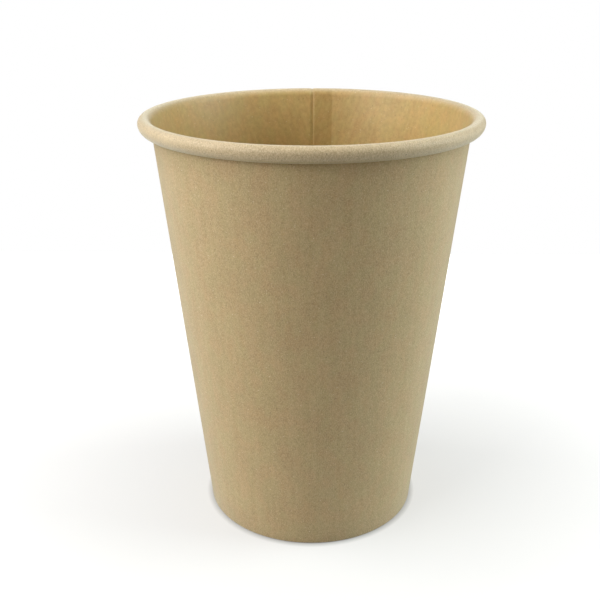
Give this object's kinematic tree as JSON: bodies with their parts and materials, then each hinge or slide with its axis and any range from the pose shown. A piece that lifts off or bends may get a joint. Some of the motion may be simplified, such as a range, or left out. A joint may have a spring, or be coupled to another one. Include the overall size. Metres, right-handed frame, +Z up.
{
  "type": "paper coffee cup",
  "caption": "Tapered single-wall paper cup for hot drinks, about 360 ml, with a rolled rim, a lapped side seam and a recessed bottom.",
  "frame": {"origin": "middle of the foot, at the level of the table", "axes": "+Z up along the cup's axis; the side seam is at +Y"},
  "size_m": [0.089, 0.089, 0.112],
  "materials": {
    "sidewall": "matte",
    "bottom": "matte"
  },
  "bodies": {
    "root": {"sidewall": "sidewall", "bottom_disc": "bottom"}
  },
  "joints": []
}
